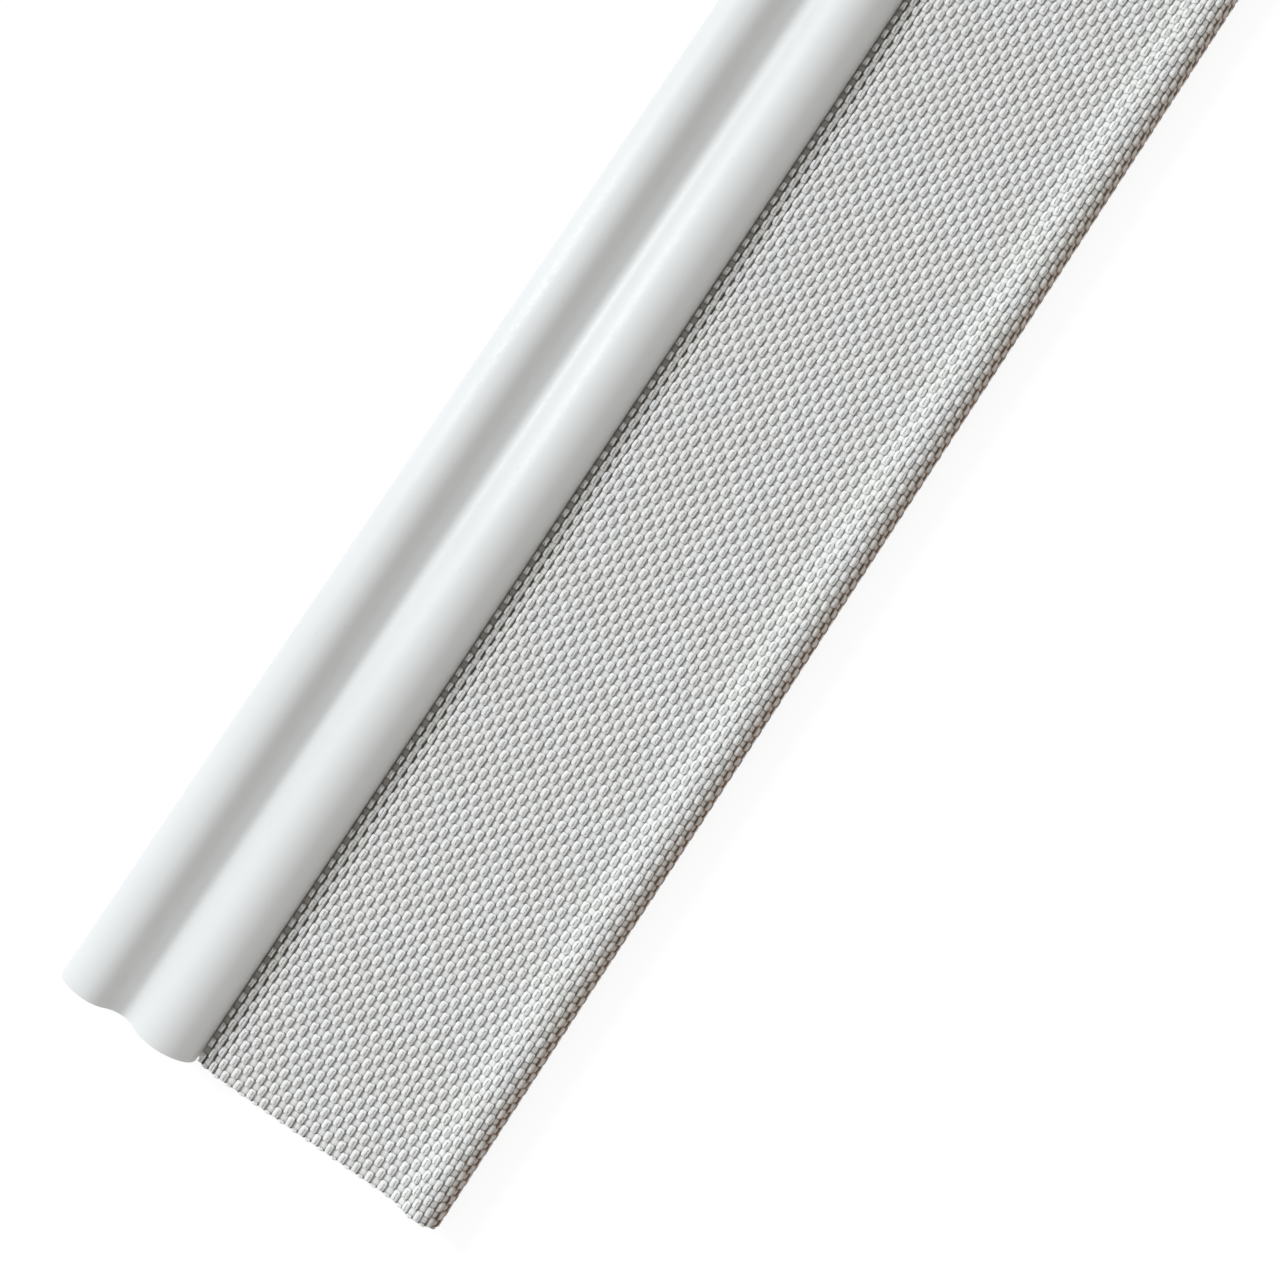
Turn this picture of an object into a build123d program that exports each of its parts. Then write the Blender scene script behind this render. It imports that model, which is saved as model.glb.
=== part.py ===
# Door sweep: a self-adhesive strip for the bottom of a door. One edge is a soft seal with two foam
# lobes under a smooth skin, and the rest is a cloth-covered band that ends in a rolled bead.
#
# Every piece is a straight run of one cross-section, cut square at both ends. Sections are drawn in
# (w, z): w is the distance from the seal's free edge, and z is the height above the surface that
# the strip lies on, face up. In the part's frame +X runs along the strip, +Y points to the seal's
# free edge and +Z out of the cloth face. The origin is at the middle of the strip, under it.

import os
from math import acos, cos, degrees, radians, sin

from build123d import *

# Overall size
strip_length = 914.0
strip_width = 50.0

# Layers of the band, from the back
liner_thickness = 0.1
tape_proud = 0.1  # how far the tapes' faces stand past the cloth hem
stiffener_thickness = 1.3
cloth_thickness = 0.6

# Back of the band
flange_width = 5.0  # the film that is glued under the band's lower edge
hem_width = 6.5  # the cloth turned under the bead, from the strip's edge
tape_margin = 0.4  # from a tape's edge to the flange or the hem
tape_gap = 1.5  # between the two tapes
liner_overlap = 0.25  # past each edge of its tape

# Rolled bead
bead_radius = 2.8
bead_under_radius = 1.0
bead_flank_radius = 4.5
bead_core_width = 7.0  # from the strip's edge to where the stiffener ends

# Furrow between the seal and the band
hinge_clearance = 0.3  # each side of the line that the seal bends about
furrow_depth = 0.6
furrow_slope = 20.0
furrow_foot = 0.1
furrow_foot_radius = 1.5
furrow_top_radius = 3.0
stiffener_setback = 1.8  # from the cloth's lower edge

# Seal: film below, skin above. Angles are how far each arc turns, in degrees.
film_thickness = 0.5
skin_thickness = 0.5
lobe_wall = 1.6
outer_side_radius = 2.4
outer_side_turn = 50.0
outer_crown_radius = 5.2
outer_crest_radius = 2.95
outer_valley_slope = 54.0
valley_radius = 2.35
inner_valley_slope = 46.0
inner_crest_radius = 4.95
inner_shoulder_radius = 4.4
inner_shoulder_turn = 45.0
inner_side_radius = 2.85
tuck_radius = 1.5
tuck_turn = 40.0

# Heights
tape_face = liner_thickness
tape_thickness = cloth_thickness + tape_proud
core_base = tape_face + tape_thickness
core_top = core_base + stiffener_thickness
band_top = core_top + cloth_thickness
hem_face = core_base - cloth_thickness
bead_crest = hem_face + bead_under_radius + bead_radius


def straight(length):
    return length, None, 0.0


def bend(radius, turn):
    """An arc that turns left by this many degrees, or right where it is negative."""
    return None, radius, turn


def follow(start, heading, steps, inset):
    """Edges of a smooth chain of steps from start, moved to the right of its course by inset."""
    right = radians(heading - 90)
    point = Vector(*start) + Vector(cos(right), sin(right)) * inset
    edges = []
    for length, radius, turn in steps:
        course = Vector(cos(radians(heading)), sin(radians(heading)))
        if radius is None:
            edge = Line(point, point + course * length)
        elif turn > 0:
            edge = JernArc(point, course, radius + inset, turn)
        else:
            edge = JernArc(point, course, radius - inset, turn)
        edges.append(edge)
        point = edge @ 1
        heading += turn
    return edges


def joined(edges):
    """The face inside a chain of edges, closed by a line from its end to its start."""
    return Face(Wire(edges + [Line(edges[-1] @ 1, edges[0] @ 0)]))


def sheet(start, heading, steps, thickness):
    """The face of a sheet whose outer side follows the steps."""
    outer = follow(start, heading, steps, 0)
    inner = follow(start, heading, steps, thickness)
    first = Line(inner[0] @ 0, outer[0] @ 0)
    last = Line(outer[-1] @ 1, inner[-1] @ 1)
    return Face(Wire([first] + outer + [last] + inner))


def block(w_low, w_high, z_low, z_high):
    corners = [(w_low, z_low), (w_high, z_low), (w_high, z_high), (w_low, z_high)]
    return Face(Wire(Polyline(*corners, close=True).edges()))


# The skin's outer side climbs the free edge, crosses both lobes and turns down into the furrow.
outer_lobe_course = [
    straight(lobe_wall),
    bend(outer_side_radius, -outer_side_turn),
    bend(outer_crown_radius, outer_side_turn - 90),
    bend(outer_crest_radius, -outer_valley_slope),
    bend(valley_radius, outer_valley_slope),
]
inner_lobe_course = [
    bend(valley_radius, inner_valley_slope),
    bend(inner_crest_radius, -inner_valley_slope),
    bend(inner_shoulder_radius, -inner_shoulder_turn),
    bend(inner_side_radius, inner_shoulder_turn - 90),
]
seal_start = (0.0, core_base)
valley, valley_height = tuple(follow(seal_start, 90, outer_lobe_course, 0)[-1] @ 1)[:2]
side_point = follow((valley, valley_height), 0, inner_lobe_course, 0)[-1] @ 1
seal_width, side_height = side_point.X, side_point.Y
tuck_course = [
    bend(tuck_radius, -tuck_turn),
    straight(2 * (side_height - core_base)),
]
seal_course = outer_lobe_course + inner_lobe_course + tuck_course
lobe_top = core_base + lobe_wall + outer_side_radius + outer_crown_radius + inner_crest_radius

# Places across the strip
hinge_line = seal_width + hinge_clearance
band_start = hinge_line + hinge_clearance
flange_end = band_start + flange_width
stiffener_start = band_start + stiffener_setback
bead_start = strip_width - bead_core_width
hem_end = strip_width - hem_width
tape_zone = hem_end - flange_end - 2 * tape_margin
tape_width = (tape_zone - tape_gap) / 2
lower_tape_start = flange_end + tape_margin
upper_tape_start = lower_tape_start + tape_width + tape_gap


def cloth_course():
    """Outer side of the cloth: up out of the furrow, over the band, round the bead, under it."""
    slope = radians(furrow_slope)
    arc_radii = furrow_foot_radius + furrow_top_radius
    slope_run = (furrow_depth - arc_radii * (1 - cos(slope))) / sin(slope)
    slope_span = arc_radii * sin(slope) + slope_run * cos(slope)

    bead_radii = bead_flank_radius + bead_radius
    flank = acos(1 - (bead_crest - band_top) / bead_radii)
    bead_span = bead_radii * sin(flank) + bead_radius
    flat_run = strip_width - bead_span - band_start - furrow_foot - slope_span

    return [
        straight(furrow_foot),
        bend(furrow_foot_radius, furrow_slope),
        straight(slope_run),
        bend(furrow_top_radius, -furrow_slope),
        straight(flat_run),
        bend(bead_flank_radius, degrees(flank)),
        bend(bead_radius, -degrees(flank) - 90),
        bend(bead_under_radius, -90),
        straight(hem_width - bead_under_radius),
    ]


def tape(w_start):
    return block(w_start, w_start + tape_width, tape_face, core_base)


def liner(w_start):
    return block(w_start - liner_overlap, w_start + tape_width + liner_overlap, 0, tape_face)


def band_sections():
    start = (band_start, band_top - furrow_depth)
    course = cloth_course()
    under_cloth = follow(start, 0, course, cloth_thickness)
    inside = joined(under_cloth + [Line(under_cloth[-1] @ 1, Vector(band_start, core_base))])
    return {
        "fabric_facing": sheet(start, 0, course, cloth_thickness),
        "band_stiffener": inside & block(stiffener_start, bead_start, core_base, core_top),
        "edge_bead_core": inside & block(bead_start, strip_width, core_base, bead_crest),
        "glue_line": inside & block(band_start, stiffener_start, core_base, core_top),
        "seal_flange": block(band_start, flange_end, core_base - film_thickness, core_base),
        "lower_tape": tape(lower_tape_start),
        "upper_tape": tape(upper_tape_start),
    }


def seal_sections():
    inside = joined(follow(seal_start, 90, seal_course, skin_thickness))
    skin = sheet(seal_start, 90, seal_course, skin_thickness)
    return {
        "seal_skin": skin & block(0, seal_width, core_base, lobe_top),
        "outer_lobe_foam": inside & block(0, valley, core_base, lobe_top),
        "inner_lobe_foam": inside & block(valley, seal_width, core_base, lobe_top),
        "seal_backing": block(0, seal_width, core_base - film_thickness, core_base),
    }


def liner_sections():
    return {"lower_liner": liner(lower_tape_start), "upper_liner": liner(upper_tape_start)}


# The sections' plane is the strip's +X end: w runs towards -Y, and z is up.
section_plane = Plane(
    origin=(strip_length / 2, strip_width / 2, 0), x_dir=(0, -1, 0), z_dir=(-1, 0, 0)
)

os.makedirs("parts", exist_ok=True)
for name, section in {**band_sections(), **seal_sections(), **liner_sections()}.items():
    strip = extrude(section_plane * section, amount=strip_length, dir=(-1, 0, 0))
    export_step(strip, f"parts/{name}.step")
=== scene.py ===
from math import acos, cos, degrees, radians, sin

import bmesh
import bpy
import numpy as np
from mathutils import Euler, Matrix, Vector


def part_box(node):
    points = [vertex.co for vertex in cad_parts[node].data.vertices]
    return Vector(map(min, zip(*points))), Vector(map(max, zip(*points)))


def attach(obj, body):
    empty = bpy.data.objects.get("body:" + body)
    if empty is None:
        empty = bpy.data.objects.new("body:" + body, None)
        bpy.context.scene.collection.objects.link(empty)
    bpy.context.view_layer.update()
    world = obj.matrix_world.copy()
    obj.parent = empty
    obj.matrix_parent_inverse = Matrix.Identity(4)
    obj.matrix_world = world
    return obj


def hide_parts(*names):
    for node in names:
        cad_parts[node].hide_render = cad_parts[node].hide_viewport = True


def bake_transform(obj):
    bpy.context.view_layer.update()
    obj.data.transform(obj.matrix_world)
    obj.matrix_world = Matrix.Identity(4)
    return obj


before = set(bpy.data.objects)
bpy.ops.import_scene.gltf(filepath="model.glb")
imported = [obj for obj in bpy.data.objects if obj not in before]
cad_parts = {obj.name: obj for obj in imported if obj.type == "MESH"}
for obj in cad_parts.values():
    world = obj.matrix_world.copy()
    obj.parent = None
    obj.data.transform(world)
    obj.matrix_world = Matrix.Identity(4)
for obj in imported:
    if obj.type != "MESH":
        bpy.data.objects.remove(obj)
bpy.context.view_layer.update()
print("frame loaded:", len(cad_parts), "CAD nodes")

mm = 0.001
tiny = 1e-6  # two places closer than this are the same

# ends, edges and layers of the strip, from the CAD boxes
bandLow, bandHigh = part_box("fabric_facing")
skinLow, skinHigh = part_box("seal_skin")
filmLow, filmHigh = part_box("seal_backing")
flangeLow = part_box("seal_flange")[0]
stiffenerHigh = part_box("band_stiffener")[1]
nearX, farX = bandLow.x, bandHigh.x
stripLength = farX - nearX
freeEdge = skinHigh.y
coreBase = skinLow.z
clothThickness = coreBase - bandLow.z
bandTop = stiffenerHigh.z + clothThickness
bandStart = freeEdge - bandHigh.y
sealWidth = freeEdge - skinLow.y
stripWidth = freeEdge - bandLow.y


# A course is a chain of straight runs and arcs in the section, drawn in (w, z):
# w is the distance from the seal's free edge, z is up. An arc that turns left is positive.
def run(length):
    return length, 0.0


def arc(radius, turn):
    return radius * abs(radians(turn)), radians(turn)


def layCourse(start, heading, steps):
    s, (w, z), heading = 0.0, start, radians(heading)
    rows = []
    for length, turn in steps:
        rows.append((s, w, z, heading, turn / length))
        middle = heading + turn / 2
        chord = length if turn == 0 else 2 * sin(abs(turn) / 2) * length / abs(turn)
        s, w, z, heading = s + length, w + chord * cos(middle), z + chord * sin(middle), heading + turn
    return {"rows": np.array(rows), "length": s, "end": (w, z)}


# points at the lengths s along a course, lifted off its left side
def onCourse(line, s, lift):
    rows = line["rows"]
    at = np.clip(np.searchsorted(rows[:, 0], s, side="right") - 1, 0, len(rows) - 1)
    s0, w0, z0, heading, curve = rows[at].T
    t = s - s0
    turned = heading + curve * t
    safe = np.where(curve == 0, 1.0, curve)
    w = np.where(curve == 0, w0 + t * np.cos(heading), w0 + (np.sin(turned) - np.sin(heading)) / safe)
    z = np.where(curve == 0, z0 + t * np.sin(heading), z0 - (np.cos(turned) - np.cos(heading)) / safe)
    return w - lift * np.sin(turned), z + lift * np.cos(turned)


seal = {
    "wall": 1.6 * mm,
    "sideRadius": 2.4 * mm, "sideTurn": 50,
    "crownRadius": 5.2 * mm,
    "crestRadius": 2.95 * mm, "outerSlope": 54,
    "valleyRadius": 2.35 * mm, "innerSlope": 46,
    "innerCrestRadius": 4.95 * mm,
    "shoulderRadius": 4.4 * mm, "shoulderTurn": 45,
    "innerSideRadius": 2.85 * mm,
    "tuckRadius": 1.5 * mm, "tuckTurn": 40,
    "skin": 0.5 * mm,
}
outerLobe = [
    run(seal["wall"]),
    arc(seal["sideRadius"], -seal["sideTurn"]),
    arc(seal["crownRadius"], seal["sideTurn"] - 90),
    arc(seal["crestRadius"], -seal["outerSlope"]),
    arc(seal["valleyRadius"], seal["outerSlope"]),
]
innerLobe = [
    arc(seal["valleyRadius"], seal["innerSlope"]),
    arc(seal["innerCrestRadius"], -seal["innerSlope"]),
    arc(seal["shoulderRadius"], -seal["shoulderTurn"]),
    arc(seal["innerSideRadius"], seal["shoulderTurn"] - 90),
    arc(seal["tuckRadius"], -seal["tuckTurn"]),
]
overLobes = layCourse((0.0, coreBase), 90, outerLobe + innerLobe)
tuckRise = overLobes["end"][1] - coreBase
tuckRun = run(tuckRise / cos(radians(90 - seal["tuckTurn"])))
sealLine = layCourse((0.0, coreBase), 90, outerLobe + innerLobe + [tuckRun])
toValley = layCourse((0.0, coreBase), 90, outerLobe)

cloth = {
    "furrowDepth": 0.6 * mm, "furrowSlope": 20,
    "footRun": 0.1 * mm, "footRadius": 1.5 * mm, "topRadius": 3.0 * mm,
    "flankRadius": 4.5 * mm, "beadRadius": 2.8 * mm, "underRadius": 1.0 * mm,
    "hem": 6.5 * mm, "lobeGap": 0.12 * mm, "looseEdge": 2.0 * mm,
    "column": 0.875 * mm, "pick": 0.98 * mm,
}
beadCrest = bandLow.z + cloth["underRadius"] + cloth["beadRadius"]
beadRadii = cloth["flankRadius"] + cloth["beadRadius"]
flankTurn = degrees(acos(1 - (beadCrest - bandTop) / beadRadii))
arcRadii = cloth["footRadius"] + cloth["topRadius"]
slope = radians(cloth["furrowSlope"])
slopeRun = (cloth["furrowDepth"] - arcRadii * (1 - cos(slope))) / sin(slope)
beadSpan = beadRadii * sin(radians(flankTurn)) + cloth["beadRadius"]
flatRun = (
    stripWidth - beadSpan - bandStart - cloth["footRun"] - arcRadii * sin(slope) - slopeRun * cos(slope)
)
clothStart = sealWidth + cloth["lobeGap"]
clothLine = layCourse((clothStart, bandTop - cloth["furrowDepth"]), 0, [
    run(bandStart - clothStart + cloth["footRun"]),
    arc(cloth["footRadius"], cloth["furrowSlope"]),
    run(slopeRun),
    arc(cloth["topRadius"], -cloth["furrowSlope"]),
    run(flatRun),
    arc(cloth["flankRadius"], flankTurn),
    arc(cloth["beadRadius"], -flankTurn - 90),
    arc(cloth["underRadius"], -90),
    run(cloth["hem"] - cloth["underRadius"]),
])
# where along the cloth the bead's outer curve, the turn under it and the hem start
crownStart, underStart, hemStart = clothLine["rows"][6:9, 0]
print("courses laid: seal", round(sealLine["length"] / mm, 2), "cloth", round(clothLine["length"] / mm, 2))


def deselectAll():
    if bpy.context.mode != "OBJECT":
        bpy.ops.object.mode_set(mode="OBJECT")
    bpy.ops.object.select_all(action="DESELECT")


def selectOnly(piece):
    deselectAll()
    piece.select_set(True)
    bpy.context.view_layer.objects.active = piece


# applies the object's place, turn and size to its mesh
def finishShape(piece, name):
    selectOnly(piece)
    bpy.ops.object.transform_apply(location=True, rotation=True, scale=True)
    piece.name = piece.data.name = name
    return piece


# a flat grid of alongX by across faces between two corners (x, y)
def flatGrid(name, alongX, across, low, high, height=0.0):
    deselectAll()
    middle = ((low[0] + high[0]) / 2, (low[1] + high[1]) / 2, height)
    bpy.ops.mesh.primitive_grid_add(x_subdivisions=alongX, y_subdivisions=across, size=1, location=middle)
    piece = bpy.context.active_object
    piece.scale = (high[0] - low[0], high[1] - low[1], 1)
    return finishShape(piece, name)


def points(piece):
    places = np.empty(len(piece.data.vertices) * 3, np.float32)
    piece.data.vertices.foreach_get("co", places)
    return places.reshape(-1, 3).astype(float)


def movePoints(piece, places):
    piece.data.vertices.foreach_set("co", places.astype(np.float32).ravel())
    piece.data.update()


def applyAll(piece):
    selectOnly(piece)
    for modifier in list(piece.modifiers):
        bpy.ops.object.modifier_apply(modifier=modifier.name)


# gives a flat sheet its thickness, below the side that faces up
def thicken(piece, thickness):
    solid = piece.modifiers.new("thickness", "SOLIDIFY")
    solid.thickness = thickness
    solid.offset = -1
    applyAll(piece)


# lays a flat piece on a course: its y is the length along the course, its z the lift off it
def wrap(piece, line):
    flat = points(piece)
    w, z = onCourse(line, flat[:, 1], flat[:, 2])
    movePoints(piece, np.stack([flat[:, 0], freeEdge - w, z], 1))


def faceOut(piece):
    selectOnly(piece)
    bpy.ops.object.mode_set(mode="EDIT")
    bpy.ops.mesh.select_all(action="SELECT")
    bpy.ops.mesh.normals_make_consistent(inside=False)
    bpy.ops.object.mode_set(mode="OBJECT")


# shades the piece smooth wherever its faces turn by less than the angle
def smooth(piece, angle=40):
    selectOnly(piece)
    bpy.ops.object.shade_smooth_by_angle(angle=radians(angle))


def newMaterial(name):
    material = bpy.data.materials.new(name)
    material.use_nodes = True
    tree = material.node_tree
    return material, tree, tree.nodes["Principled BSDF"]


# adds a node, whose inputs are values or other nodes' outputs, by index or name
def put(tree, kind, inputs=(), **settings):
    node = tree.nodes.new(kind)
    for key, value in settings.items():
        setattr(node, key, value)
    for key, value in dict(inputs).items():
        if isinstance(value, bpy.types.NodeSocket):
            tree.links.new(value, node.inputs[key])
        else:
            node.inputs[key].default_value = value
    return node


def math(tree, operation, first, second=0.0, third=0.0, clamp=False):
    inputs = {0: first, 1: second, 2: third}
    return put(tree, "ShaderNodeMath", inputs, operation=operation, use_clamp=clamp).outputs[0]


def times(tree, first, second):
    return math(tree, "MULTIPLY", first, second)


# a value times by, plus more
def scaled(tree, value, by, more):
    return math(tree, "MULTIPLY_ADD", value, by, more)


def vectorMath(tree, operation, first, second, third=(0, 0, 0)):
    inputs = {0: first, 1: second, 2: third}
    return put(tree, "ShaderNodeVectorMath", inputs, operation=operation).outputs[0]


# a colour made lighter or darker by a tone
def toneDown(tree, colour, tone):
    return put(tree, "ShaderNodeVectorMath", {0: colour, 3: tone}, operation="SCALE").outputs[0]


# output 0 is the noise's value, and "Color" is a noise for each of three axes
def noise(tree, where, scale, detail=2.0, roughness=0.5, distortion=0.0, output=0):
    node = put(tree, "ShaderNodeTexNoise", {
        "Vector": where, "Scale": scale, "Detail": detail, "Roughness": roughness, "Distortion": distortion,
    })
    return node.outputs[output]


# takes a value smoothly from lowOut to highOut between low and high
def ramp(tree, value, low, high, lowOut=0.0, highOut=1.0):
    node = put(
        tree, "ShaderNodeMapRange",
        {"Value": value, "From Min": low, "From Max": high, "To Min": lowOut, "To Max": highOut},
        interpolation_type="SMOOTHSTEP",
    )
    return node.outputs["Result"]


def mixColour(tree, factor, first, second):
    return put(tree, "ShaderNodeMix", {0: factor, 6: first, 7: second}, data_type="RGBA").outputs[2]


def give(piece, material):
    piece.data.materials.clear()
    piece.data.materials.append(material)


# The weave is a long float and a dot in turn along each column of warp yarn. The next column is
# one pick further on. Places are counted in picks from the near end and columns from the furrow.
weave = {
    "firstColumn": 0.25, "long": 1.25,
    "crest": 0.18 * mm, "dotCrest": -0.11 * mm, "firstDots": -0.28 * mm,
    "endValley": -0.21 * mm, "groove": -0.32 * mm, "grooveRise": 0.08 * mm,
    "pairDip": 0.03 * mm, "lean": 0.06, "shoulder": 0.075, "beadRelief": 0.4,
    # how blunt a yarn is: the higher the first number, the blunter
    "floatAlong": 3.6, "dotAlong": 2.4, "endPower": 0.6,
    "floatAcross": (3.2, 0.52), "dotAcross": (2.0, 0.8), "dipWidth": 0.1,
    "uneven": 0.03 * mm,
    "drift": 0.045 * mm, "driftWaves": (0.71, 0.93, 1.9, 1.3), "driftSeeds": (1.7, 4.1),
    "slowShare": 0.6, "quickShare": 0.4,
    "layer": 0.36 * mm,
    # a band of the flat part is wider than one on the bead, and all are cut into cells
    "flatColumns": 5, "beadColumns": 4, "flatEnd": 30, "topEnd": 40,
    "cells": 4, "hemCells": 2, "bentCuts": 3, "hemCuts": 7, "groundGrid": (120, 140),
    "smoothBelow": 50,
}
borderSlack = 1e-6  # a place on the border of two yarns is on the next one

# the last three colours are painted shade: in the gaps and between each pair of yarns, in the bent creases,
# and at the strip's edge, where it is also a painted warm reflection
clothFinish = {
    "float": (0.98, 0.98, 0.97, 1), "cream": (0.975, 0.975, 0.945, 1), "gapShadow": (0.235, 0.235, 0.225, 1),
    "creaseShadow": (0.10, 0.07, 0.04, 1), "edge": (0.30, 0.15, 0.06, 1),
    "roughness": (0.33, 0.9), "specular": 0.7, "sheen": 0.05, "sheenRoughness": 0.5,
    "relief": 0.14 * mm, "reliefStrength": 0.9,
}
# Along and across a yarn, 0 is its middle and 1 its outline. A shade says where it starts and ends,
# then how strong it is at the two, or it goes from 0 to 1. A depth says how dark the painted gap shadow
# is: what the shadow side, away from the light, adds, then how dark the near side is.
yarnShade = {
    "wander": (0.22, 0.16, 0), "wanderScale": 1.7,
    "floatCorner": (4.6, 4.2), "dotCorner": 2.6, "dotWidth": 0.86,
    "floatEdge": (0.45, 1.05), "dotEdge": (0.50, 1.25), "shadowSide": (0.1, 0.9),
    "floatShadowDepth": (0.37, 0.63), "dotShadowDepth": (-0.22, 0.46),
    "creaseSide": (0.55, 0.95), "creaseAround": (0.5, 1.3), "aroundShare": 0.7,
    "firstDots": 0.75, "firstEnds": (0.45, 1.0, 0.0, 0.8),
    "edgeAround": (0.1, 0.7, 0.5, 1.0),
    "lineAt": 0.22, "line": (0.08, 0.30, 1.0, 0.0), "lineEnd": (0.55, 0.85, 1.0, 0.0),
    "ragged": (0.38, 0.54, 0.2, 1.0),
}
# tones round 1: by chance they differ by the first number and are at least the second. The ridge on the
# seal's side gets a painted highlight, and the dots a painted shade.
yarnLight = {
    "chance": (0.06, 0.97), "dotPaintedShade": -0.15,
    "highlightAt": -0.25, "ridge": (0.30, 0.75, 1.0, 0.93), "fibre": (0.32, 0.68, 0.92, 1.10),
    "creamClouds": (0.42, 0.6), "cloudScale": 0.12, "speckScale": 9.0, "fibreScale": (4.5, 18.0, 1.0),
}
# how much each shape adds to the fine relief
yarnBump = {
    "dome": 0.3, "yarn": 0.5, "yarnAt": 0.46, "yarnHalf": 0.5, "onDot": -0.6, "fibre": 0.45, "speck": 0.25,
}
# the columns at the bead's crest and at the strip's edge
crestColumn = (crownStart + radians(flankTurn) * cloth["beadRadius"]) / cloth["column"]
crestColumn += weave["firstColumn"]
edgeColumn = underStart / cloth["column"] + weave["firstColumn"]
# painted shadow that changes from column to column across the strip: in the furrow under the lobe, on the
# bead's side away from the light, and at the strip's edge, with a painted warm reflection there
paintedShadeAcross = {
    "furrow": (1.8, 4.6, 1.0, 0.0),
    "bead": (crestColumn - 0.5, edgeColumn - 2.5, 0.0, 0.95),
    "beforeEdge": (edgeColumn - 4.0, edgeColumn - 1.6, 0.0, 0.95),
    "pastEdge": (edgeColumn + 0.2, edgeColumn + 2.0, 1.0, 0.0),
}


# which float or dot a place is on, and how far it is from that one's middle
def yarnPlaces(tree):
    uv = put(tree, "ShaderNodeUVMap", uv_map="weave").outputs[0]
    aside = noise(tree, uv, yarnShade["wanderScale"], output="Color")
    aside = vectorMath(tree, "SUBTRACT", aside, (0.5, 0.5, 0.5))
    moved = vectorMath(tree, "MULTIPLY_ADD", aside, yarnShade["wander"], uv)
    shifted = put(tree, "ShaderNodeSeparateXYZ", {0: moved}).outputs
    v = put(tree, "ShaderNodeSeparateXYZ", {0: uv}).outputs[1]
    column = math(tree, "FLOOR", v)
    across = scaled(tree, math(tree, "SUBTRACT", shifted[1], column), 2.0, -1.0)
    along = math(tree, "ADD", shifted[0], math(tree, "FLOORED_MODULO", column, 2.0))
    place = math(tree, "FLOORED_MODULO", along, 2.0)
    isDot = math(tree, "GREATER_THAN", place, weave["long"])
    half = scaled(tree, isDot, 1 - weave["long"], weave["long"] / 2)
    middle = math(tree, "ADD", isDot, weave["long"] / 2)
    a = math(tree, "ABSOLUTE", math(tree, "DIVIDE", math(tree, "SUBTRACT", place, middle), half))
    b = math(tree, "ABSOLUTE", across)
    turn = scaled(tree, math(tree, "FLOOR", math(tree, "DIVIDE", along, 2.0)), 2.0, isDot)
    which = put(tree, "ShaderNodeCombineXYZ", {0: column, 1: turn, 2: 0.5}).outputs[0]
    # the outlines are rounded rectangles
    cornerA, cornerB = yarnShade["floatCorner"]
    corner = yarnShade["dotCorner"]
    narrow = math(tree, "DIVIDE", b, yarnShade["dotWidth"])
    inFloat = math(tree, "ADD", math(tree, "POWER", a, cornerA), math(tree, "POWER", b, cornerB))
    inDot = math(tree, "ADD", math(tree, "POWER", a, corner), math(tree, "POWER", narrow, corner))
    out = put(tree, "ShaderNodeMix", {0: isDot, 2: inFloat, 3: inDot}).outputs[0]
    return {
        "uv": uv, "v": v, "across": across, "isDot": isDot, "a": a, "b": b, "which": which,
        "inFloat": inFloat, "inDot": inDot, "out": out,
    }


# painted shadow in the gaps round the yarns, darkest beside a float on its side away from the seal and the
# light
def paintedGapShadow(tree, at):
    shadowSide = ramp(tree, at["across"], *yarnShade["shadowSide"])
    floatShadowDepth = scaled(tree, shadowSide, *yarnShade["floatShadowDepth"])
    dotShadowDepth = scaled(tree, shadowSide, *yarnShade["dotShadowDepth"])
    floatGap = times(tree, ramp(tree, at["inFloat"], *yarnShade["floatEdge"]), floatShadowDepth)
    dotGap = times(tree, ramp(tree, at["inDot"], *yarnShade["dotEdge"]), dotShadowDepth)
    return put(tree, "ShaderNodeMix", {0: at["isDot"], 2: floatGap, 3: dotGap}).outputs[0]


# painted shadow where the cloth bends hard: in the furrow under the lobe's shadow, round the yarns on the
# bead's side away from the light, and on the first column's dots and float ends in the crevice
def paintedCreaseShadow(tree, at):
    atFurrow = ramp(tree, at["v"], *paintedShadeAcross["furrow"])
    atBead = ramp(tree, at["v"], *paintedShadeAcross["bead"])
    bend = math(tree, "MAXIMUM", atFurrow, atBead)
    beside = times(tree, ramp(tree, at["b"], *yarnShade["creaseSide"]), bend)
    around = ramp(tree, at["out"], *yarnShade["creaseAround"])
    around = times(tree, around, times(tree, atBead, yarnShade["aroundShare"]))
    isFirst = math(tree, "LESS_THAN", at["v"], 1.0)
    firstDots = times(tree, isFirst, times(tree, at["isDot"], yarnShade["firstDots"]))
    firstEnds = times(tree, isFirst, ramp(tree, at["a"], *yarnShade["firstEnds"]))
    first = math(tree, "MAXIMUM", firstDots, firstEnds)
    return math(tree, "MAXIMUM", math(tree, "MAXIMUM", beside, around), first)


# painted shadow and painted warm reflection at the strip's edge, strongest between the yarns
def paintedEdgeShadowAndReflection(tree, at):
    before = ramp(tree, at["v"], *paintedShadeAcross["beforeEdge"])
    past = ramp(tree, at["v"], *paintedShadeAcross["pastEdge"])
    return times(tree, times(tree, before, past), ramp(tree, at["out"], *yarnShade["edgeAround"]))


# a float is a pair of yarns, with a ragged line of painted shade in the groove between them
def paintedPairShade(tree, at, speck):
    fromLine = math(tree, "ABSOLUTE", math(tree, "SUBTRACT", at["across"], yarnShade["lineAt"]))
    line = ramp(tree, fromLine, *yarnShade["line"])
    line = times(tree, line, ramp(tree, at["a"], *yarnShade["lineEnd"]))
    line = times(tree, line, math(tree, "SUBTRACT", 1.0, at["isDot"]))
    return times(tree, line, ramp(tree, speck, *yarnShade["ragged"]))
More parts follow.
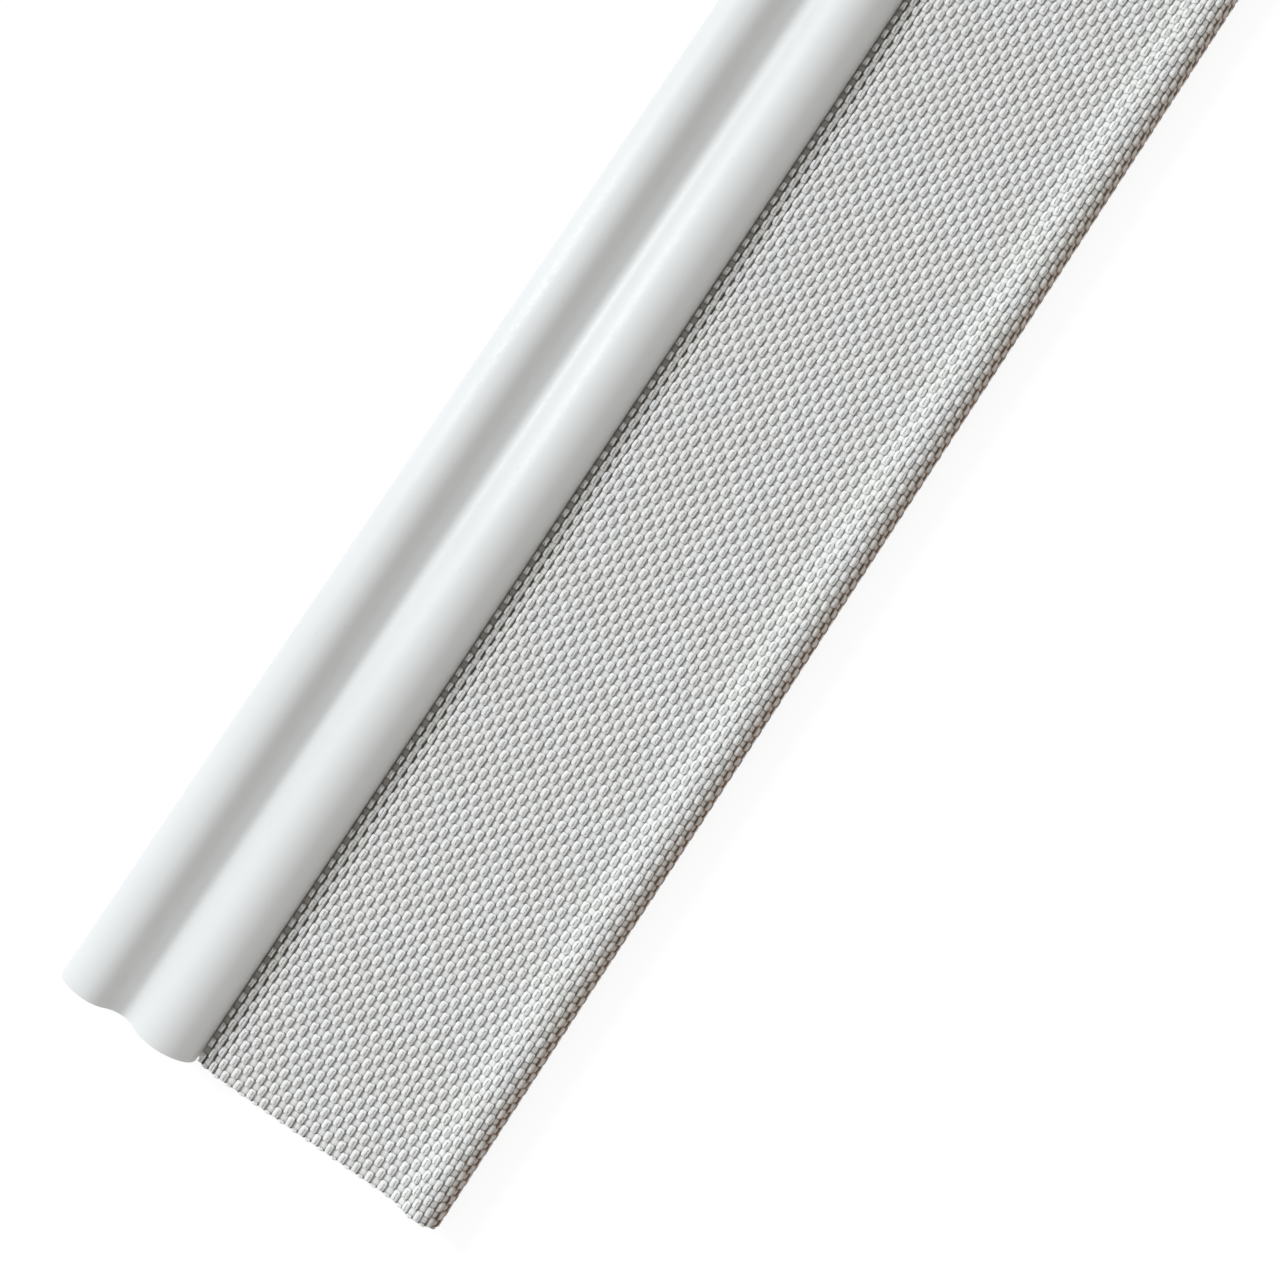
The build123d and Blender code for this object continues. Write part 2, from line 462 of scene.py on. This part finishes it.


# how light each yarn is: by chance, by a painted highlight along its ridge on the seal's side, where the
# light comes from, by painted shade on the lower dots, and by its fibres
def yarnToneAndPaintedLight(tree, at, fibre):
    chanceOf = put(tree, "ShaderNodeTexWhiteNoise", {0: at["which"]}, noise_dimensions="3D").outputs[0]
    fromHighlight = math(tree, "ABSOLUTE", math(tree, "SUBTRACT", at["across"], yarnLight["highlightAt"]))
    tone = scaled(tree, chanceOf, *yarnLight["chance"])
    tone = times(tree, tone, ramp(tree, fromHighlight, *yarnLight["ridge"]))
    tone = times(tree, tone, scaled(tree, at["isDot"], yarnLight["dotPaintedShade"], 1.0))
    return times(tree, tone, ramp(tree, fibre, *yarnLight["fibre"]))


# the fine relief: each float's dome, its two round yarns and the fibres
def yarnRelief(tree, at, fibre, speck):
    dome = math(tree, "SQRT", math(tree, "SUBTRACT", 1.0, math(tree, "MINIMUM", at["out"], 1.0)))
    fromYarn = math(tree, "SUBTRACT", at["b"], yarnBump["yarnAt"])
    fromYarn = math(tree, "DIVIDE", fromYarn, yarnBump["yarnHalf"])
    yarn = math(tree, "SUBTRACT", 1.0, times(tree, fromYarn, fromYarn), clamp=True)
    yarn = times(tree, math(tree, "SQRT", yarn), scaled(tree, at["isDot"], yarnBump["onDot"], 1.0))
    height = scaled(tree, dome, yarnBump["dome"], times(tree, fibre, yarnBump["fibre"]))
    height = scaled(tree, speck, yarnBump["speck"], height)
    return scaled(tree, yarn, yarnBump["yarn"], height)


def clothMaterial():
    material, tree, surface = newMaterial("wovenCloth")
    at = yarnPlaces(tree)
    gapShadow = paintedGapShadow(tree, at)
    stretched = vectorMath(tree, "MULTIPLY", at["uv"], yarnLight["fibreScale"])
    fibre = noise(tree, stretched, 1.0, detail=4.0, roughness=0.65, distortion=0.8)
    speck = noise(tree, at["uv"], yarnLight["speckScale"], roughness=0.6)
    cloud = noise(tree, at["uv"], yarnLight["cloudScale"])
    creamy = ramp(tree, cloud, *yarnLight["creamClouds"])
    colour = mixColour(tree, creamy, clothFinish["float"], clothFinish["cream"])
    # painted shade goes into the colour: in the gaps, between each pair, at the edge with a painted warm
    # reflection, and in the creases; the tone adds a painted ridge highlight and painted shade on the dots
    colour = mixColour(tree, gapShadow, colour, clothFinish["gapShadow"])
    colour = mixColour(tree, paintedPairShade(tree, at, speck), colour, clothFinish["gapShadow"])
    colour = mixColour(tree, paintedEdgeShadowAndReflection(tree, at), colour, clothFinish["edge"])
    colour = mixColour(tree, paintedCreaseShadow(tree, at), colour, clothFinish["creaseShadow"])
    toned = toneDown(tree, colour, yarnToneAndPaintedLight(tree, at, fibre))
    tree.links.new(toned, surface.inputs["Base Color"])
    tree.links.new(ramp(tree, gapShadow, 0.0, 1.0, *clothFinish["roughness"]), surface.inputs["Roughness"])
    bump = put(tree, "ShaderNodeBump", {
        "Height": yarnRelief(tree, at, fibre, speck),
        "Strength": clothFinish["reliefStrength"], "Distance": clothFinish["relief"],
    })
    tree.links.new(bump.outputs[0], surface.inputs["Normal"])
    surface.inputs["Sheen Weight"].default_value = clothFinish["sheen"]
    surface.inputs["Sheen Roughness"].default_value = clothFinish["sheenRoughness"]
    surface.inputs["Specular IOR Level"].default_value = clothFinish["specular"]
    return material


chanceMix = {"counts": (12.9898, 78.233, 37.719), "spread": 43758.5453}


# an even spread of values from 0 to 1, always the same for the same counts
def chance(*counts):
    mixed = sum(count * share for count, share in zip(counts, chanceMix["counts"]))
    return np.mod(np.sin(mixed) * chanceMix["spread"], 1.0)


# which float or dot of a column a place is on, and how far it is from that one's middle
def onYarn(u, column):
    along = u + np.mod(column, 2) + borderSlack
    place = np.mod(along, 2) - borderSlack
    isDot = place > weave["long"]
    half = np.where(isDot, 1 - weave["long"] / 2, weave["long"] / 2)
    middle = np.where(isDot, 1 + weave["long"] / 2, weave["long"] / 2)
    return isDot, np.clip(np.abs(place - middle) / half, 0, 1), np.floor(along / 2)


# how high the yarns stand at places counted in picks and columns
def floatHeight(u, v):
    column = np.floor(v + borderSlack)
    across = (v - column) * 2 - 1
    isDot, a, turn = onYarn(u, column)
    b = np.clip(np.abs(across + weave["lean"] * (1 - across ** 2)), 0, 1)
    which = chance(column, turn, isDot * 1.0)
    # the groove is deep along the far side of a float, and shallow along that of a dot
    besideDot, besideA, _ = onYarn(u, np.where(across > 0, column, column - 1))
    groove = weave["groove"] + weave["grooveRise"] * np.where(besideDot, 1, besideA ** 4)
    dotCrest = np.where(column < 0.5, weave["firstDots"], weave["dotCrest"])
    crest = np.where(isDot, dotCrest, weave["crest"]) + weave["uneven"] * (which * 2 - 1)
    valley = np.minimum(weave["endValley"], dotCrest)
    blunt = np.where(isDot, weave["dotAlong"], weave["floatAlong"])
    ridge = valley + (crest - valley) * (1 - a ** blunt) ** weave["endPower"]
    floatBlunt, floatPower = weave["floatAcross"]
    dotBlunt, dotPower = weave["dotAcross"]
    body = np.where(isDot, (1 - b ** dotBlunt) ** dotPower, (1 - b ** floatBlunt) ** floatPower)
    dip = weave["pairDip"] * (b < weave["dipWidth"]) * (1 - a ** 2) * ~isDot
    height = groove + (ridge - groove) * body - dip
    onBead = np.clip((v - crestColumn) / (edgeColumn - crestColumn), 0, 1)
    return height * (1 + (weave["beadRelief"] - 1) * onBead)


# a slow sideways wander of the yarns
def drift(x, s, seed):
    slowX, slowS, quickX, quickS = weave["driftWaves"]
    slow = np.sin(x / mm * slowX + seed) * np.sin(s / mm * slowS + 2 * seed)
    quick = np.sin(x / mm * quickX + 3 * seed + s / mm * quickS)
    return weave["drift"] * (weave["slowShare"] * slow + weave["quickShare"] * quick)


# where a column of yarn starts, as a length along the cloth, whose edge cuts the first column
def columnAt(column):
    return min(max(0.0, (column - weave["firstColumn"]) * cloth["column"]), clothLine["length"])


# the UV map of a flat piece counts picks along the strip and columns across it
def mapWeave(piece):
    flat = points(piece)
    layer = piece.data.uv_layers.active or piece.data.uv_layers.new(name="weave")
    layer.name = "weave"
    corners = np.empty(len(piece.data.loops), np.int32)
    piece.data.loops.foreach_get("vertex_index", corners)
    picks = (flat[corners, 0] - nearX) / cloth["pick"]
    columns = flat[corners, 1] / cloth["column"] + weave["firstColumn"]
    layer.data.foreach_set("uv", np.stack([picks, columns], 1).astype(np.float32).ravel())


# One band of columns as a flat closed shell: a grid's boundary is pulled down, its long bottom edges
# are bridged and its ends filled.
def flatShell(name, low, high, cells, underCuts):
    layer = weave["layer"]
    alongX = int(round(stripLength / cloth["pick"] * cells))
    across = int(round((high[1] - low[1]) / cloth["column"] * cells))
    piece = flatGrid(name, alongX, across, low, high)
    selectOnly(piece)
    bpy.ops.object.mode_set(mode="EDIT")
    bpy.ops.mesh.select_all(action="DESELECT")
    bpy.ops.mesh.select_mode(type="EDGE")
    bpy.ops.mesh.select_non_manifold()
    bpy.ops.mesh.extrude_region_move(TRANSFORM_OT_translate={"value": (0, 0, -layer)})
    shape = bmesh.from_edit_mesh(piece.data)
    for edge in shape.edges:
        one, two = (vert.co for vert in edge.verts)
        isBottom = max(one.z, two.z) < -layer / 2
        edge.select = isBottom and abs(one.y - two.y) < tiny
    bpy.ops.mesh.bridge_edge_loops(number_cuts=underCuts, interpolation="LINEAR")
    bpy.ops.mesh.select_all(action="DESELECT")
    bpy.ops.mesh.select_non_manifold()
    bpy.ops.mesh.edge_face_add()
    bpy.ops.object.mode_set(mode="OBJECT")
    return piece


# gives a flat shell's top the yarns' relief, then lets the yarns wander
def raiseYarns(piece):
    flat = points(piece)
    top = flat[:, 2] > -weave["layer"] / 2
    start, end = flat[:, 1] < tiny, flat[:, 1] > clothLine["length"] - tiny
    within = top & ~start & ~end
    # the lines of points move out to the yarns' shoulders, where they bend most
    v = flat[:, 1] / cloth["column"] + weave["firstColumn"]
    v -= weave["shoulder"] * np.sin(2 * np.pi * v) * within
    flat[:, 1] = (v - weave["firstColumn"]) * cloth["column"]
    u = (flat[:, 0] - nearX) / cloth["pick"]
    flat[:, 2] = np.where(top, floatHeight(u, v), flat[:, 2])
    flat[top & (start | end), 2] = weave["groove"]
    movePoints(piece, flat)
    mapWeave(piece)
    inside = (flat[:, 0] > nearX + tiny) & (flat[:, 0] < farX - tiny)
    seedX, seedS = weave["driftSeeds"]
    flat[:, 0] += drift(flat[:, 0], flat[:, 1], seedX) * inside
    flat[:, 1] += drift(flat[:, 0], flat[:, 1], seedS) * within
    movePoints(piece, flat)


def weavePiece(name, firstColumn, columns, cells, underCuts, material):
    low = (nearX, columnAt(firstColumn))
    high = (farX, columnAt(firstColumn + columns))
    piece = flatShell(name, low, high, cells, underCuts)
    raiseYarns(piece)
    wrap(piece, clothLine)
    faceOut(piece)
    smooth(piece, weave["smoothBelow"])
    give(piece, material)
    if firstColumn == 0:
        bendWithSeal(piece)
    else:
        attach(piece, "band")
    print(name, "made:", len(piece.data.polygons), "faces")
    return piece


# the cloth's ground and its piece at the loose edge in the furrow only have their place baked into their
# mesh; the other pieces go with the band
def bendWithSeal(piece):
    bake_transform(piece)


def makeCloth():
    material = clothMaterial()
    corners = (nearX, 0), (farX, clothLine["length"])
    ground = flatGrid("cloth_ground", *weave["groundGrid"], *corners, -weave["layer"])
    thicken(ground, clothThickness - weave["layer"])
    mapWeave(ground)
    wrap(ground, clothLine)
    faceOut(ground)
    smooth(ground)
    give(ground, material)
    bendWithSeal(ground)
    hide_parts("fabric_facing")
    bands = []
    first = 0
    while first < weave["topEnd"]:
        onFlat = first + weave["flatColumns"] <= weave["flatEnd"]
        columns = weave["flatColumns"] if onFlat else weave["beadColumns"]
        columns = min(columns, weave["topEnd"] - first)
        cuts = 0 if onFlat and first > 0 else weave["bentCuts"]
        name = f"warp_floats_{len(bands) + 1}"
        bands.append(weavePiece(name, first, columns, weave["cells"], cuts, material))
        first += columns
    rest = clothLine["length"] / cloth["column"] + weave["firstColumn"] - first
    bands.append(weavePiece("warp_floats_hem", first, rest, weave["hemCells"], weave["hemCuts"], material))


makeCloth()
print("cloth made")


skinFinish = {
    "light": (0.745, 0.755, 0.75, 1), "dark": (0.725, 0.733, 0.728, 1),
    "roughness": (0.38, 0.50), "specular": 0.4,
    "drawnScale": (25, 900, 900), "grainScale": 2600.0, "cloudScale": 40.0, "speckScale": 300.0,
    "clouds": (0.3, 0.7), "specks": (0.02, 0.07, 0.93, 1.0), "grains": (0.3, 0.7),
    "drawnShare": 0.6, "grainShare": 0.4,
    "relief": 0.02 * mm, "reliefStrength": 0.25,
    "along": 240, "across": 132, "smoothBelow": 50,
    # the waves' lengths in mm, their shares, and how they run askew across the lobes
    "uneven": 0.03 * mm, "slowWaves": (23, 61), "quickWave": 9.5, "slowShare": 0.6, "quickShare": 0.4,
    "slowSkew": 0.4, "quickSkew": 0.9, "shift": 1.3,
}


def skinMaterial():
    material, tree, surface = newMaterial("satinSkin")
    where = put(tree, "ShaderNodeTexCoord").outputs["Object"]
    inputs = {"Vector": where, "Scale": skinFinish["drawnScale"]}
    stretched = put(tree, "ShaderNodeMapping", inputs).outputs[0]
    drawn = noise(tree, stretched, 1.0, detail=3.0)
    grain = noise(tree, where, skinFinish["grainScale"], detail=3.0)
    cloud = noise(tree, where, skinFinish["cloudScale"])
    speck = put(tree, "ShaderNodeTexVoronoi", {"Vector": where, "Scale": skinFinish["speckScale"]})
    shade = ramp(tree, cloud, *skinFinish["clouds"])
    colour = mixColour(tree, shade, skinFinish["dark"], skinFinish["light"])
    tone = ramp(tree, speck.outputs["Distance"], *skinFinish["specks"])
    tree.links.new(toneDown(tree, colour, tone), surface.inputs["Base Color"])
    roughness = ramp(tree, grain, *skinFinish["grains"], *skinFinish["roughness"])
    tree.links.new(roughness, surface.inputs["Roughness"])
    height = scaled(tree, drawn, skinFinish["drawnShare"], times(tree, grain, skinFinish["grainShare"]))
    bump = put(tree, "ShaderNodeBump", {
        "Height": height, "Strength": skinFinish["reliefStrength"], "Distance": skinFinish["relief"],
    })
    tree.links.new(bump.outputs[0], surface.inputs["Normal"])
    surface.inputs["Specular IOR Level"].default_value = skinFinish["specular"]
    return material


# the skin stands a little uneven along the lobes, and true at its two welded edges
def makeSkin():
    length = sealLine["length"]
    skin = flatGrid("seal_skin_film", skinFinish["along"], skinFinish["across"], (nearX, 0), (farX, length))
    thicken(skin, seal["skin"])
    flat = points(skin)
    x, s = flat[:, 0] / mm, flat[:, 1] / mm
    one, other = skinFinish["slowWaves"]
    slow = np.sin(x / one + skinFinish["slowSkew"] * s) * np.sin(x / other + skinFinish["shift"])
    quick = np.sin(x / skinFinish["quickWave"] + skinFinish["quickSkew"] * s)
    wave = skinFinish["slowShare"] * slow + skinFinish["quickShare"] * quick
    flat[:, 2] += skinFinish["uneven"] * wave * np.sin(np.pi * flat[:, 1] / length) ** 2
    movePoints(skin, flat)
    wrap(skin, sealLine)
    faceOut(skin)
    smooth(skin, skinFinish["smoothBelow"])
    give(skin, skinMaterial())
    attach(skin, "seal")
    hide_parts("seal_skin")


makeSkin()
print("seal skin made")


# Foams, films and papers: cells of one size give colour, roughness and bump together. Each entry
# has the colour, the colour in the pits, darker as painted shade in the hollows, the roughness, the size
# and depth of a cell, and its stretch.
cellFinishes = {
    "lobeFoam": ((0.90, 0.90, 0.88), (0.66, 0.66, 0.63), 0.9, 0.32 * mm, 0.08 * mm),
    "beadFoam": ((0.88, 0.88, 0.85), (0.62, 0.62, 0.58), 0.9, 0.40 * mm, 0.10 * mm),
    "stiffener": ((0.86, 0.86, 0.84), (0.76, 0.76, 0.73), 0.75, 0.14 * mm, 0.03 * mm),
    "backingFilm": ((0.82, 0.83, 0.83), (0.78, 0.79, 0.79), 0.5, 0.25 * mm, 0.01 * mm, (0.1, 1, 1)),
    "hotGlue": ((0.84, 0.78, 0.62), (0.78, 0.71, 0.54), 0.3, 0.9 * mm, 0.04 * mm),
    "tapeFoam": ((0.90, 0.90, 0.89), (0.74, 0.74, 0.72), 0.85, 0.12 * mm, 0.03 * mm),
    "adhesive": ((0.80, 0.80, 0.77), (0.74, 0.74, 0.70), 0.25, 0.6 * mm, 0.01 * mm),
    "linerPaper": ((0.87, 0.80, 0.62), (0.80, 0.71, 0.52), 0.45, 0.5 * mm, 0.01 * mm, (0.4, 1, 1)),
}
# what all of them share: scales are in cells, and shades are given as for the yarns
cellShade = {
    "walls": (0.03, 0.30), "smallCells": (0.1, 0.8, 1.0, 0.55), "smallScale": 2.3,
    "clouds": (0.3, 0.7, 0.95, 1.03), "cloudScale": 0.2, "pitRoughness": 0.85, "relief": 0.7,
}


def cellMaterial(name, colour, paintedPitShade, roughness, cell, depth, stretch=(1, 1, 1)):
    material, tree, surface = newMaterial(name)
    where = put(tree, "ShaderNodeTexCoord").outputs["Object"]
    where = put(tree, "ShaderNodeMapping", {"Vector": where, "Scale": stretch}).outputs[0]
    inputs = {"Vector": where, "Scale": 1 / cell}
    walls = put(tree, "ShaderNodeTexVoronoi", inputs, feature="DISTANCE_TO_EDGE").outputs["Distance"]
    inputs = {"Vector": where, "Scale": cellShade["smallScale"] / cell}
    small = put(tree, "ShaderNodeTexVoronoi", inputs).outputs["Distance"]
    cloud = noise(tree, where, cellShade["cloudScale"] / cell, detail=3.0)
    pits = ramp(tree, walls, *cellShade["walls"])
    pits = times(tree, pits, ramp(tree, small, *cellShade["smallCells"]))
    # the pits get the darker colour, painted shade in the hollows
    shade = mixColour(tree, pits, (*colour, 1), (*paintedPitShade, 1))
    tone = ramp(tree, cloud, *cellShade["clouds"])
    tree.links.new(toneDown(tree, shade, tone), surface.inputs["Base Color"])
    shine = ramp(tree, pits, 0.0, 1.0, roughness * cellShade["pitRoughness"], roughness)
    tree.links.new(shine, surface.inputs["Roughness"])
    inputs = {"Height": pits, "Strength": cellShade["relief"], "Distance": depth}
    bump = put(tree, "ShaderNodeBump", inputs, invert=True)
    tree.links.new(bump.outputs[0], surface.inputs["Normal"])
    return material


finishes = {name: cellMaterial(name, *values) for name, values in cellFinishes.items()}
print("foam, film and paper finishes made:", len(finishes))


# the foams and the glue, which show at the cut ends
core = {
    "foamRim": 0.25 * mm, "foamDish": 0.12 * mm, "glueBulge": 0.05 * mm, "glueRim": 0.15 * mm,
    "lobePoints": 40, "beadPoints": 36, "gluePoints": 8, "clothSteps": 400,
    "faceEnds": 0.9, "smoothBelow": 35,
}


def editAll(piece):
    selectOnly(piece)
    bpy.ops.object.mode_set(mode="EDIT")
    bpy.ops.mesh.select_mode(type="FACE")
    bpy.ops.mesh.select_all(action="SELECT")


# selects the faces whose middle and normal pass a test
def selectFaces(piece, test):
    shape = bmesh.from_edit_mesh(piece.data)
    for face in shape.faces:
        face.select_set(test(face.calc_center_median(), face.normal))
    shape.select_flush_mode()
    bmesh.update_edit_mesh(piece.data)


# Both cut ends get a rim, and the face inside it goes in by dish, or out where dish is negative.
def dishEnds(piece, rim, dish):
    square = core["faceEnds"]
    for end, inward in ((nearX, 1), (farX, -1)):
        selectFaces(piece, lambda middle, normal: abs(middle.x - end) < tiny and abs(normal.x) > square)
        bpy.ops.mesh.inset(thickness=rim, depth=0)
        bpy.ops.transform.translate(value=(inward * dish, 0, 0))


# a straight length of one outline in (w, z), drawn at the near end and extruded along the strip
def prism(name, outline, rim, dish, body, finish, node):
    deselectAll()
    bpy.ops.mesh.primitive_circle_add(vertices=len(outline), fill_type="NGON")
    piece = finishShape(bpy.context.active_object, name)
    movePoints(piece, np.array([(nearX, freeEdge - w, z) for w, z in outline]))
    editAll(piece)
    bpy.ops.mesh.extrude_region_move(TRANSFORM_OT_translate={"value": (stripLength, 0, 0)})
    bpy.ops.mesh.select_all(action="SELECT")
    bpy.ops.mesh.normals_make_consistent(inside=False)
    dishEnds(piece, rim, dish)
    bpy.ops.object.mode_set(mode="OBJECT")
    faceOut(piece)
    smooth(piece, core["smoothBelow"])
    give(piece, finishes[finish])
    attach(piece, body)
    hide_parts(node)
    return piece


# points along a course between two lengths, as (w, z)
def along(line, start, end, count, lift):
    w, z = onCourse(line, np.linspace(start, end, count), lift)
    return list(zip(w, z))


# the length along the cloth at which its underside passes a place across the strip
def underClothAt(place):
    s = np.linspace(0, crownStart, core["clothSteps"])
    w, _ = onCourse(clothLine, s, -clothThickness)
    return float(np.interp(place, w, s))


def makeFoams():
    inner = onCourse(sealLine, np.array([sealLine["length"]]), -seal["skin"])
    valley, skin = toValley["length"], seal["skin"]
    outer = along(sealLine, 0, valley, core["lobePoints"], -skin)
    outline = outer + [(outer[-1][0], coreBase)]
    one = prism(
        "outer_foam", outline, core["foamRim"], core["foamDish"],
        "seal", "lobeFoam", "outer_lobe_foam",
    )
    second = along(sealLine, valley, sealLine["length"], core["lobePoints"], -skin)
    second = [point for point in second if point[1] > coreBase + tiny]
    outline = [(second[0][0], coreBase)] + second + [(float(inner[0][0]), coreBase)]
    two = prism(
        "inner_foam", outline, core["foamRim"], core["foamDish"],
        "seal", "lobeFoam", "inner_lobe_foam",
    )
    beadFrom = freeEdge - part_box("edge_bead_core")[1].y
    over = along(clothLine, underClothAt(beadFrom), hemStart, core["beadPoints"], -clothThickness)
    outline = [(beadFrom, coreBase)] + over
    three = prism(
        "bead_foam", outline, core["foamRim"], core["foamDish"],
        "band", "beadFoam", "edge_bead_core",
    )


def makeGlue():
    low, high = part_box("glue_line")
    start, end = freeEdge - high.y, freeEdge - low.y
    over = along(clothLine, underClothAt(start), underClothAt(end), core["gluePoints"], -clothThickness)
    outline = [(start, coreBase)] + over + [(end, coreBase)]
    prism("glue_bead", outline, core["glueRim"], -core["glueBulge"], "band", "hotGlue", "glue_line")


makeFoams()
makeGlue()
print("foams and glue made")


sheets = {
    "stiffenerEdge": 0.12 * mm, "adhesive": 0.08 * mm, "tapeWaist": 0.06 * mm,
    "linerAlong": 60, "linerAcross": 6, "rolledBelow": 35, "flatBelow": 30,
}


# a block between the corners of a CAD node's box
def blockAt(name, node):
    low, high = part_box(node)
    deselectAll()
    bpy.ops.mesh.primitive_cube_add(size=1, location=(low + high) / 2)
    piece = bpy.context.active_object
    piece.scale = high - low
    return finishShape(piece, name)


# the stiffener is cut from dense foam sheet, with slightly rolled edges
def makeStiffener():
    piece = blockAt("stiffener_sheet", "band_stiffener")
    editAll(piece)
    bpy.ops.mesh.bevel(offset=sheets["stiffenerEdge"], segments=3, affect="EDGES")
    bpy.ops.object.mode_set(mode="OBJECT")
    smooth(piece, sheets["rolledBelow"])
    give(piece, finishes["stiffener"])
    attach(piece, "band")
    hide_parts("band_stiffener")


# a foam tape is a foam core that draws in a little between its two faces of adhesive
def makeTape(side):
    node = f"{side}_tape"
    low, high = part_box(node)
    piece = blockAt(f"{side}_foam_tape", node)
    editAll(piece)
    for level in (low.z + sheets["adhesive"], high.z - sheets["adhesive"]):
        bpy.ops.mesh.select_all(action="SELECT")
        bpy.ops.mesh.bisect(plane_co=(0, 0, level), plane_no=(0, 0, 1))
    middle = (low.z + high.z) / 2
    selectFaces(piece, lambda place, normal: abs(place.z - middle) < tiny and abs(normal.z) < 0.5)
    bpy.ops.mesh.inset(thickness=0, depth=-sheets["tapeWaist"])
    bpy.ops.object.mode_set(mode="OBJECT")
    faceOut(piece)
    smooth(piece, sheets["flatBelow"])
    give(piece, finishes["adhesive"])
    piece.data.materials.append(finishes["tapeFoam"])
    for face in piece.data.polygons:
        face.material_index = int(abs(face.center.z - middle) < (high.z - low.z) / 2 - sheets["adhesive"])
    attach(piece, "band")
    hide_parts(node)


def makeLiner(side):
    node = f"{side}_liner"
    low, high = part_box(node)
    piece = flatGrid(
        f"{side}_liner_paper", sheets["linerAlong"], sheets["linerAcross"],
        (low.x, low.y), (high.x, high.y), high.z,
    )
    thicken(piece, high.z - low.z)
    faceOut(piece)
    smooth(piece, sheets["flatBelow"])
    give(piece, finishes["linerPaper"])
    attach(piece, node)
    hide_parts(node)


makeStiffener()
for side in ("lower", "upper"):
    makeTape(side)
    makeLiner(side)
print("stiffener, tapes and liners made")


# The backing film is one strip from the free edge to under the band.
film = {"bendFrom": 0.02 * mm, "along": 60, "across": 120}


def makeFilm():
    strip = flatGrid(
        "backing_film", film["along"], film["across"],
        (nearX, flangeLow.y), (farX, freeEdge), filmHigh.z,
    )
    thicken(strip, filmHigh.z - filmLow.z)
    faceOut(strip)
    smooth(strip)
    give(strip, finishes["backingFilm"])
    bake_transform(strip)
    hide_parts("seal_backing", "seal_flange")


makeFilm()
print("backing film made")


studio = {
    "floorSize": 8.0, "floorDrop": 0.02 * mm, "floorColour": (0.9, 0.9, 0.9, 1),
    "floorRoughness": 0.9, "floorSpecular": 0.1, "floorWhite": 1.06, "whiteShare": 0.82,
    "sunStrength": 1.46, "sunAngle": 10, "sunFrom": (0.22, 0.82, 0.53), "sunColour": (0.97, 1.0, 1.03),
    "worldStrength": 0.85,
    "leftSky": (0.89, 0.93, 0.96, 1), "rightSky": (0.95, 0.93, 0.90, 1),
    "lowRight": (0.10, 0.06, 0.03, 1), "lowFrom": (-0.85, -0.3),
}


# 1 for rays that see the white background themselves, or in a gloss or a glass
def seesBackground(tree):
    path = put(tree, "ShaderNodeLightPath").outputs
    seen = math(tree, "MAXIMUM", path["Is Camera Ray"], path["Is Glossy Ray"])
    return math(tree, "MAXIMUM", seen, path["Is Transmission Ray"])


def makeFloor():
    deselectAll()
    bpy.ops.mesh.primitive_plane_add(size=studio["floorSize"], location=(0, 0, -studio["floorDrop"]))
    floor = finishShape(bpy.context.active_object, "floor")
    material, tree, surface = newMaterial("whiteFloor")
    surface.inputs["Base Color"].default_value = studio["floorColour"]
    surface.inputs["Roughness"].default_value = studio["floorRoughness"]
    surface.inputs["Specular IOR Level"].default_value = studio["floorSpecular"]
    white = put(tree, "ShaderNodeEmission", {"Color": (1, 1, 1, 1), "Strength": studio["floorWhite"]})
    share = times(tree, seesBackground(tree), studio["whiteShare"])
    both = put(tree, "ShaderNodeMixShader", {0: share, 1: surface.outputs[0], 2: white.outputs[0]})
    tree.links.new(both.outputs[0], tree.nodes["Material Output"].inputs["Surface"])
    give(floor, material)


def makeLight():
    scene = bpy.context.scene
    world = bpy.data.worlds.new("studio")
    scene.world = world
    world.use_nodes = True
    tree = world.node_tree
    backdrop = tree.nodes["Background"]
    direction = put(tree, "ShaderNodeTexCoord").outputs["Generated"]
    toLeft = put(tree, "ShaderNodeSeparateXYZ", {0: direction}).outputs[1]
    sky = mixColour(tree, ramp(tree, toLeft, -1.0, 1.0), studio["rightSky"], studio["leftSky"])
    low = ramp(tree, toLeft, *studio["lowFrom"], 1.0, 0.0)
    sky = mixColour(tree, low, sky, studio["lowRight"])
    seen = seesBackground(tree)
    tree.links.new(mixColour(tree, seen, sky, (1, 1, 1, 1)), backdrop.inputs["Color"])
    strength = scaled(tree, seen, 1 - studio["worldStrength"], studio["worldStrength"])
    tree.links.new(strength, backdrop.inputs["Strength"])
    lamp = bpy.data.lights.new("key", "SUN")
    lamp.energy = studio["sunStrength"]
    lamp.angle = radians(studio["sunAngle"])
    lamp.color = studio["sunColour"]
    key = bpy.data.objects.new("key", lamp)
    key.rotation_euler = Vector(studio["sunFrom"]).to_track_quat("Z", "Y").to_euler()
    scene.collection.objects.link(key)


view = {
    "fromNearEnd": 59.49 * mm, "acrossFromMiddle": -15.65 * mm, "height": 141.65 * mm,
    "turn": (3.845, 1.190, -56.603),
    "lens": 35.16, "sensor": 36, "nearest": 0.01, "farthest": 20,
}


def makeCamera():
    scene = bpy.context.scene
    lens = bpy.data.cameras.new("camera")
    lens.lens = view["lens"]
    lens.sensor_width = view["sensor"]
    lens.clip_start = view["nearest"]
    lens.clip_end = view["farthest"]
    camera = bpy.data.objects.new("camera", lens)
    camera.location = (nearX + view["fromNearEnd"], view["acrossFromMiddle"], view["height"])
    camera.rotation_euler = Euler([radians(a) for a in view["turn"]])
    scene.collection.objects.link(camera)
    scene.camera = camera
    scene.view_settings.view_transform = "Standard"


makeFloor()
makeLight()
makeCamera()
print("floor, light and camera made")
